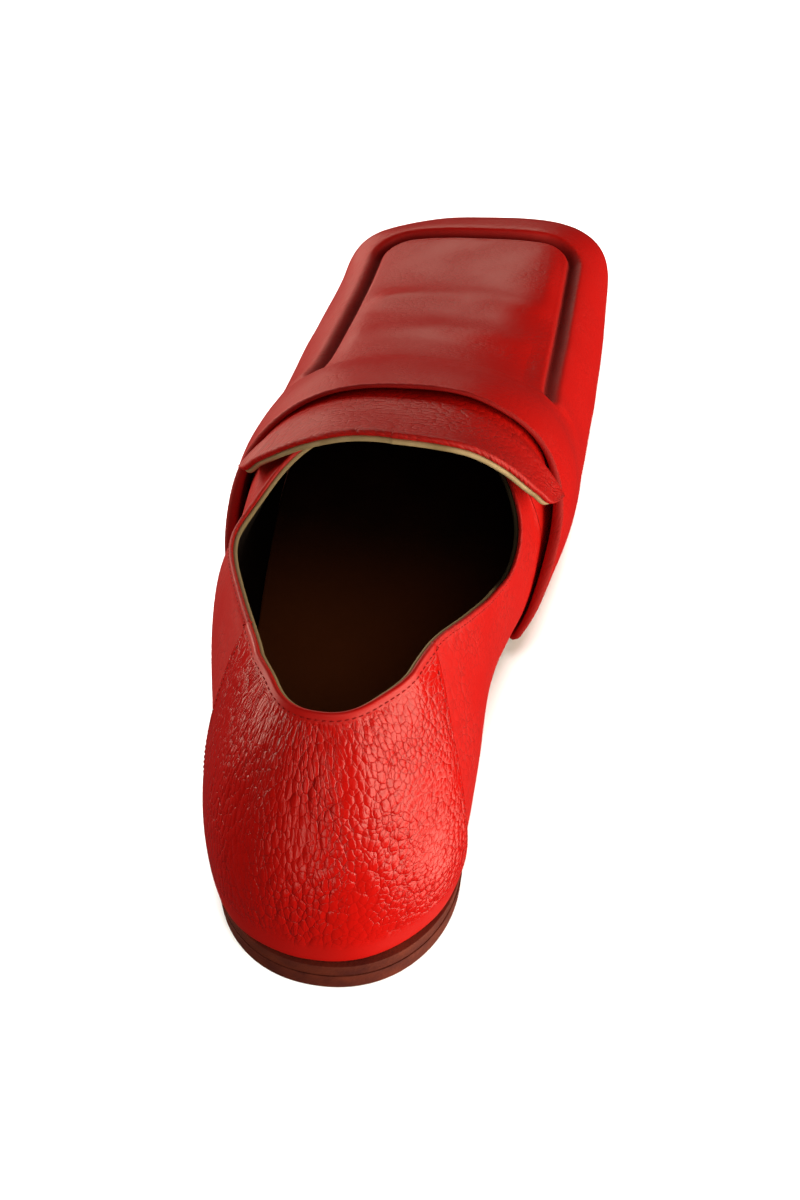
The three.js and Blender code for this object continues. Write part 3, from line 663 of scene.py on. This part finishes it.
def panelGrids():
    t = np.linspace(-1, 1, panel["turns"])
    s = np.linspace(0, 1, panel["rows"])
    turnGrid, share = np.meshgrid(t, s, indexing="ij")
    uGrid, vGrid, side = panelPlace(turnGrid, share)
    raw = surfacePoint(uGrid, vGrid, side)
    normal = surfaceNormal(uGrid, vGrid, side)
    dent = panel["dent"] * softNoise(raw * [1, 1, panel["dentTall"]], panel["dentSize"])
    dent = dent * (1 - share ** panel["dentFade"]) * ease((1 - np.abs(turnGrid)) / panel["dentRun"])
    edgeDrop = ease((np.abs(turnGrid) - panel["edgeFrom"]) / panel["edgeRun"])
    off = tuck(raw, panelFull + dent) - panelSkive(share) - (panelFull - panel["edgeLeft"]) * edgeDrop ** 3
    wall = raw + normal * off[..., None]
    # folded over the collar: half a turn from the panel's face to the inside
    out, rise = normal[:, -1], unit(raw[:, -1] - raw[:, -2])
    turn = np.linspace(0, np.pi, panel["rollRows"])[1:]
    radius = panel["roll"] * (1 - panel["rollEnd"] * edgeDrop[:, -1:])
    roll = halfTurn(wall[:, -1], out, rise, radius, turn)
    inside = roll[:, -1:] - rise[:, None] * np.array(panel["inside"])[None, :, None]
    points = np.concatenate([wall, roll, inside], 1)
    # the grain is drawn out upwards and finest by the outer seam: UV lengths go by the local pebble size
    along, up = np.moveaxis(gridUv(points, panel["uvRow"]), -1, 0)
    across, tall = curve(panelGrain, "across", t), curve(panelGrain, "tall", t)
    grown = np.cumsum(np.gradient(along[:, 0]) / across)
    uv = np.stack([np.broadcast_to(grown[:, None], up.shape), (up - panel["uvMiddle"]) / tall[:, None]], -1)
    # stretched smooth over the sole edge and along the collar
    low = ease((panel["calmLow"] - s) / panel["calmLowRun"])
    high = ease((s - panel["calmHigh"]) / panel["calmHighRun"])
    calm = np.append(low + high, np.ones(roll.shape[1] + inside.shape[1]))
    return [dict(points=points, uv=heelGrain["pebble"] * uv, marks=dict(calm=calm))]


makePiece("heelPanel", panelGrids(), heelLeather, replaces=("heel_panel",))

# Stitching: short waxed threads in a row, each arched over the leather and sunk at its ends.
seam = dict(pitch=1.6, length=1.05, thick=0.15, rise=0.1, arch=1.6, sunk=0.9, sides=6, steps=6, starts=0.5,
            collarTo=112, collarSteps=500, belowCollar=1.2, inset=1.9, halfGirth=60.0, low=0.03, high=0.93,
            panelSteps=300, panelSunk=0.05)


def stitchRow(path, normal):  # round rods cut from a path, lifted along the normal by a parabola
    run = np.concatenate([[0], np.cumsum(np.linalg.norm(np.diff(path, axis=0), axis=1))])
    starts = np.arange(seam["starts"], run[-1] - seam["length"], seam["pitch"])
    t = np.linspace(0, 1, seam["steps"])
    at = starts[:, None] + seam["length"] * t[None, :]
    spot = np.stack([np.interp(at, run, path[:, k]) for k in range(3)], -1)
    up = unit(np.stack([np.interp(at, run, normal[:, k]) for k in range(3)], -1))
    ahead = unit(np.gradient(spot, axis=1))
    aside = unit(np.cross(ahead, up))
    spot = spot + up * (seam["rise"] * (4 * t * (1 - t) * seam["arch"] - seam["sunk"]))[None, :, None]
    turn = np.linspace(0, 2 * np.pi, seam["sides"] + 1)
    ring = np.cos(turn)[:, None] * aside[:, :, None] + np.sin(turn)[:, None] * up[:, :, None]
    return [dict(points=p, flip=True) for p in spot[:, :, None] + seam["thick"] * ring]


def seamStitches():
    # along the collar, a little below the edge
    u, side = bothSides(np.linspace(0, float(uAt(seam["collarTo"])), seam["collarSteps"]))
    top = collarV(u, side)
    step = 0.02
    climb = np.linalg.norm(surfacePoint(u, top, side) - surfacePoint(u, top - step, side), axis=-1) / step
    v = top - seam["belowCollar"] / climb
    raw, normal = surfacePoint(u, v, side), surfaceNormal(u, v, side)
    onPanel = raw[:, 1] < bySide(panelEdge, ("outer", "inner"), v / top, side)
    off = np.where(onPanel, panelFull - panelSkive(v / top), collarBead(v / top))
    rows = stitchRow(raw + normal * off[:, None], normal)
    # down both front edges of the heel panel
    s = np.linspace(seam["low"], seam["high"], seam["panelSteps"])
    for sign in (-1.0, 1.0):
        u, v, side = panelPlace(sign * (1 - seam["inset"] / seam["halfGirth"]) * np.ones_like(s), s)
        raw, normal = surfacePoint(u, v, side), surfaceNormal(u, v, side)
        rows += stitchRow(raw + normal * (panelFull - seam["panelSunk"]), normal)
    return rows


makePiece("stitching", seamStitches(), threadRed)

# Lining: the inner skin from insole to collar and on into the toe, painted dark as shade, with a raw tan
# edge.
lining = dict(off=-0.1, stations=110, front=70, overlap=2.5, rows=40, roll=0.6, rollRows=7, rim=-0.3,
              thick=2.6, thinRun=0.2, panelOut=0.1, pull=4, drop=(1.0, 3.0), rawFrom=0.965, rawRun=0.02,
              noEdge=0.9, noEdgeFrom=76, noEdgeRun=5)


def liningGrids():
    u, side = bothSides(throat * np.linspace(0, 1, lining["stations"]))
    s = np.linspace(0, 1, lining["rows"])
    top, uGrid, vGrid, sideGrid, share = wallPlaces(u, side, s)
    deep = 2 * lining["roll"] - lining["off"]
    deeper = (lining["thick"] - deep) * ease((1 - share) / lining["thinRun"])
    wall = offPoint(uGrid, vGrid, sideGrid, -deep - deeper)
    # the raw edge: half a turn against the red edge, a little below it
    edge, out, rise = collarFrame(u, top, side)
    outward = lining["panelOut"] * underPanel(edge[:, 1])
    moved = out * outward[:, None] + rise * lining["rim"]
    wall = wall + moved[:, None] * (s ** lining["pull"])[None, :, None]
    face = edge + moved + out * lining["off"]
    roll = halfTurn(face, out, rise, lining["roll"], np.linspace(np.pi, 0, lining["rollRows"])[1:])
    drop = roll[:, -1:] - rise[:, None] * np.array(lining["drop"])[None, :, None]
    points = np.concatenate([wall, roll, drop], 1)
    bare = np.append(ease((s - lining["rawFrom"]) / lining["rawRun"]), np.ones(roll.shape[1] + drop.shape[1]))
    # on the inner side, ahead of 76 mm from the heel, the raw edge mostly keeps the lining's dark colour
    edgeLeftOff = lining["noEdge"] * ease((side * edge[:, 1] - lining["noEdgeFrom"]) / lining["noEdgeRun"])
    grids = [dict(points=points, flip=True, marks=dict(edge=bare[None, :] * (1 - edgeLeftOff)[:, None]))]
    uFront = np.linspace(float(uAt(foot["throat"] - lining["overlap"])), 1, lining["front"])
    uGrid, vGrid = np.meshgrid(uFront, s, indexing="ij")
    for sign in (-1.0, 1.0):
        points = offPoint(uGrid, vGrid, sign * np.ones_like(uGrid), -lining["thick"] + 0 * uGrid)
        grids.append(dict(points=points, flip=sign > 0))
    return grids


makePiece("lining", liningGrids(), liningLeather)

# Tongue: a wide flap from under the vamp, with a rolled red rear edge over a tan lining.
tongue = dict(gap=0.45, red=1.6, redNose=9, tan=1.5, tanLess=0.05, tanIn=0.15, tanNose=5, along=60, across=90,
              crowding=1.15, rootClear=1.0, flareFrom=1, flareRun=9.0, thinRun=15.0, rootThick=1.0, dent=0.12,
              dentSize=10, edgeTone=0.14, toneBefore=4, toneAfter=14, toneRun=4)
tongueEdge = dict(
    v=[0.385, 0.40, 0.46, 0.58, 0.75, 1.0],
    rearOuter=[119.5, 113.5, 108, 103.5, 101.5, 100.5],
    rearInner=[121.5, 115.5, 108.8, 104, 101.5, 100.5],
    root=[123, 126, 133, 141, 145, 146],
    flareOuter=[3.0, 2.8, 2.2, 1.0, 0.3, 0],
    flareInner=[5.8, 5.4, 3.8, 1.5, 0.3, 0])


def tongueSheet(lowOff, thick, rearIn, noseRows):
    # for each place across, a loop along the shoe: over the top from root to rear, round the nose, back under
    q = np.linspace(-1, 1, 2 * tongue["across"] + 1)
    side = np.where(q < 0, -1.0, 1.0)
    v = 1 - (1 - tongueEdge["v"][0]) * np.abs(q) ** tongue["crowding"]
    rear = bySide(tongueEdge, ("rearOuter", "rearInner"), v, side) + rearIn
    root = np.maximum(curve(tongueEdge, "root", v), rear + tongue["rootClear"])
    y = rear + (root - rear) * np.linspace(1, 0, tongue["along"])[:, None]
    vGrid, sideGrid = np.broadcast_to(v, y.shape), np.broadcast_to(side, y.shape)
    behind = bySide(vampEdge, ("outer", "inner"), vGrid, sideGrid) - y
    flare = bySide(tongueEdge, ("flareOuter", "flareInner"), vGrid, sideGrid)
    flare = flare * ease((behind - tongue["flareFrom"]) / tongue["flareRun"])
    thin = np.clip(-behind / tongue["thinRun"], 0, 1)
    scale = 1 + (tongue["rootThick"] / (tongue["red"] + tongue["tan"]) - 1) * thin
    raw = surfacePoint(uAt(y), vGrid, sideGrid)
    normal = surfaceNormal(uAt(y), vGrid, sideGrid)
    dent = tongue["dent"] * softNoise(raw, tongue["dentSize"])
    low = raw + normal * (tongue["gap"] + flare + lowOff * scale)[..., None]
    high = raw + normal * (tongue["gap"] + flare + (lowOff + thick) * scale + dent)[..., None]
    back = unit(raw[-1:] - raw[-2:-1])
    half = (thick * scale[-1:]) / 2
    middle = (low[-1:] + high[-1:]) / 2
    across = unit(high[-1:] - low[-1:])
    turn = np.linspace(np.pi / 2, -np.pi / 2, noseRows + 2)[1:-1]
    nose = [middle + across * (half * math.sin(t))[..., None] + back * (half * math.cos(t))[..., None]
            for t in turn]
    return np.concatenate([high] + nose + [low[::-1]], 0)


def tongueGrid(points):
    uv = np.stack([lengthAlong(points, 0), lengthAlong(points, 1)], -1)
    past = np.arange(len(points)) - tongue["along"]
    before = ease((past + tongue["toneBefore"]) / tongue["toneRun"])
    after = ease((tongue["toneAfter"] - past) / tongue["toneRun"])
    edge = tongue["edgeTone"] * before * after  # the turned edge is painted deeper in colour as shade, and made rougher
    return [dict(points=points, uv=uv, marks=dict(groove=edge[:, None]))]


redSheet = tongueSheet(tongue["tan"], tongue["red"], 0.0, tongue["redNose"])
tanSheet = tongueSheet(0.0, tongue["tan"] - tongue["tanLess"], tongue["tanIn"], tongue["tanNose"])
makePiece("tongueFlap", tongueGrid(redSheet), tongueLeather, replaces=("tongue",))
makePiece("tongueLining", tongueGrid(tanSheet), tanLeather)


# Sole, heel lift and sock: slabs with rounded edges carried round the outline.
def edgePoint(u, side, out, z, sway=0):  # the outline moved out by a distance, at a height
    ox, oy, cy = outline(u, side)
    dy = oy - cy
    grow = 1 + out / (np.hypot(ox, dy) + 1e-9)
    x = ox * grow + sway
    return np.stack([x, skewed(x, cy + dy * grow), z + 0 * x], -1)


def slabGrid(u, shape, edgeOut, low, high, undercut=0.0, swaying=True):
    # each section runs down the outer edge, across the bottom, up the inner edge and back across the top
    oy = outline(u, -np.ones_like(u))[1]
    corner = [(shape["rounding"] * (np.sin(t) - 1), -shape["rounding"] * (1 - np.cos(t)))
              for t in np.linspace(0, np.pi / 2, 5)]
    z1, z0 = high(oy), low(oy)
    sway = curve(tread, "sway", oy) if swaying else 0
    edges = []
    for sign in (-1.0, 1.0):
        side = sign * np.ones_like(u)
        out = edgeOut(oy, side)
        rows = [edgePoint(u, side, out + o, z1 + dz, sway) for o, dz in corner]
        rows += [edgePoint(u, side, out - undercut * k, z1 + (z0 - z1) * k, sway) for k in (0.35, 0.6)]
        rows += [edgePoint(u, side, out - undercut + o, z0 - dz, sway) for o, dz in corner[::-1]]
        edges.append(np.stack(rows, 1))
    outer, inner = edges
    k = np.linspace(0, 1, shape["across"])[None, 1:-1, None]
    bottom = outer[:, -1:] * (1 - k) + inner[:, -1:] * k
    top = inner[:, :1] * (1 - k) + outer[:, :1] * k
    return np.concatenate([outer, bottom, inner[:, ::-1], top, outer[:, :1]], 1)


def soleEdgeOut(y, side):
    return bySide(tread, ("edgeOuter", "edgeInner"), y, side)


soleShape = dict(rounding=0.15, across=14, roundStations=70, bodyStations=120)
endShare = foot["endShare"]
heelEnd = np.linspace(0, endShare, soleShape["roundStations"])
body = np.linspace(endShare, 1 - endShare, soleShape["bodyStations"])
toeEnd = np.linspace(1 - endShare, 1, soleShape["roundStations"])
wholeLength = np.concatenate([heelEnd, body[1:], toeEnd[1:]])
soleLoop = slabGrid(wholeLength, soleShape, soleEdgeOut, treadHeight, soleTop, foot["soleUndercut"])
makePiece("leatherSole", [dict(points=soleLoop, flip=True)], soleLeather,
          replaces=("outsole",))

# the lift is closed at its breast by a fan to the middle
liftShape = dict(rounding=0.12, across=14, breastStations=18, pressed=0.25)
toBreast = np.linspace(endShare, float(uAt(foot["heelBreast"])), liftShape["breastStations"])
liftTop = foot["heelHeight"] + liftShape["pressed"]
liftLoop = slabGrid(np.append(heelEnd, toBreast[1:]), liftShape, soleEdgeOut, lambda y: 0 * y,
                    lambda y: 0 * y + liftTop, foot["soleUndercut"])
breast = np.stack([liftLoop[-1], np.broadcast_to(liftLoop[-1].mean(0), liftLoop[-1].shape)], 0)
makePiece("heelLift", [dict(points=liftLoop, flip=True), dict(points=breast, flip=True)], liftLeather,
          replaces=("heel",))

sockShape = dict(rounding=0.6, across=18, thick=2.0, overlap=0.2, outOfShade=0.9, outOfShadeTo=150, outOfShadeRun=90)


def sockLow(y):
    return soleTop(y) + foot["gap"]


sockOut = sockShape["overlap"] - foot["wall"]
sockLoop = slabGrid(wholeLength, sockShape, lambda y, side: 0 * y + sockOut, sockLow,
                    lambda y: sockLow(y) + sockShape["thick"], swaying=False)
# painted shade: the sock is painted dark towards the toe and keeps its own brown towards the heel
outOfShade = sockShape["outOfShade"] * ease((sockShape["outOfShadeTo"] - sockLoop[..., 1]) / sockShape["outOfShadeRun"])
makePiece("sock", [dict(points=sockLoop, flip=True, marks=dict(edge=outOfShade))], insoleLeather,
          replaces=("insole",))

# Floor, light and camera.
studio = dict(floorHalf=4, floorColour="#f4f4f4", worldColour="#ffffff", worldStrength=0.03, far=1.5,
              lampColour=(1.0, 0.92, 0.74), floorLampColour=(1.0, 1.0, 1.0), aim=(0.0, -0.08, 0.04))
floorMesh = bpy.data.meshes.new("floor")
floorCorners = np.array([(-1, -1, 0), (1, -1, 0), (1, 1, 0), (-1, 1, 0)]) * studio["floorHalf"]
floorMesh.from_pydata(floorCorners.tolist(), [], [(0, 1, 2, 3)])
floor = bpy.data.objects.new("floor", floorMesh)
scene.collection.objects.link(floor)
# Plain uncoated paper: an even pale ground without shine.
floorMaterial, addToFloor = startMaterial("matt white paper")
finishMaterial(addToFloor, {"Base Color": colour(studio["floorColour"]), "Roughness": 0.9,
                            "Specular IOR Level": 0.1})
floorMesh.materials.append(floorMaterial)
floor.visible_glossy = floor.visible_diffuse = floor.visible_shadow = False

bpy.context.scene.view_settings.view_transform = "Standard"
world = bpy.data.worlds.new("studio")
scene.world = world
world.use_nodes = True
sky = world.node_tree.nodes["Background"].inputs
sky["Color"].default_value = colour(studio["worldColour"])
sky["Strength"].default_value = studio["worldStrength"]


def pointAt(thing, at, to):  # places a lamp or the camera and turns it to a point
    thing.location = at
    thing.rotation_mode = "QUATERNION"
    thing.rotation_quaternion = (Vector(to) - Vector(at)).to_track_quat("-Z", "Y")
    scene.collection.objects.link(thing)


# Studio lights by compass angle from the inner side, angle above the floor, width, height and power;
# the paper floor lets those below it shine through, as on a light table.
lights = (
    dict(name="key", turn=328, rise=0, wide=0.9, tall=1.2, power=21.0),
    dict(name="side", turn=0, rise=6, wide=0.7, tall=1.1, power=13.2),
    dict(name="innerFront", turn=30, rise=14, wide=0.7, tall=0.7, power=4.5),
    dict(name="lowSide", turn=0, rise=-38, wide=0.8, tall=0.6, power=4.2),
    dict(name="front", turn=108, rise=16, wide=1.1, tall=0.5, power=3.5),
    dict(name="lowFront", turn=126, rise=-6, wide=0.8, tall=0.5, power=1.3),
    dict(name="rim", turn=148, rise=8, wide=0.7, tall=0.6, power=10.5),
    dict(name="outerSide", turn=178, rise=3, wide=0.55, tall=0.8, power=8.2),
    dict(name="over", turn=292, rise=46, wide=0.9, tall=0.6, power=3.2),
    dict(name="back", turn=266, rise=-4, wide=0.22, tall=1.2, power=2.8),
    dict(name="floorLamp", turn=0, rise=90, far=2.5, wide=1.5, tall=1.5, power=130.0, on=floor),
)
for spec in lights:
    lamp = bpy.data.lights.new(spec["name"], "AREA")
    lamp.shape = "RECTANGLE"
    lamp.size, lamp.size_y = spec["wide"], spec["tall"]
    lamp.energy = spec["power"]
    lamp.color = studio["lampColour"]
    holder = bpy.data.objects.new(spec["name"], lamp)
    turn, rise = math.radians(spec["turn"]), math.radians(spec["rise"])
    away = Vector((math.cos(turn) * math.cos(rise), math.sin(turn) * math.cos(rise), math.sin(rise)))
    pointAt(holder, Vector(studio["aim"]) + away * spec.get("far", studio["far"]), studio["aim"])
    holder.visible_camera = False
    if "on" in spec:  # this lamp lights the floor alone
        lamp.color = studio["floorLampColour"]
        only = bpy.data.collections.new(spec["name"])
        only.objects.link(spec["on"])
        holder.light_linking.receiver_collection = only

view = dict(at=(0.07030, -0.37615, 0.38080), to=(0.00540, -0.03494, 0.02113), lens=58.52, sensor=36.0,
            near=0.01)
camera = bpy.data.objects.new("camera", bpy.data.cameras.new("camera"))
camera.data.lens = view["lens"]
camera.data.sensor_width = view["sensor"]
camera.data.clip_start = view["near"]
pointAt(camera, view["at"], view["to"])
bpy.context.scene.camera = camera
print("floor, lights and camera set")
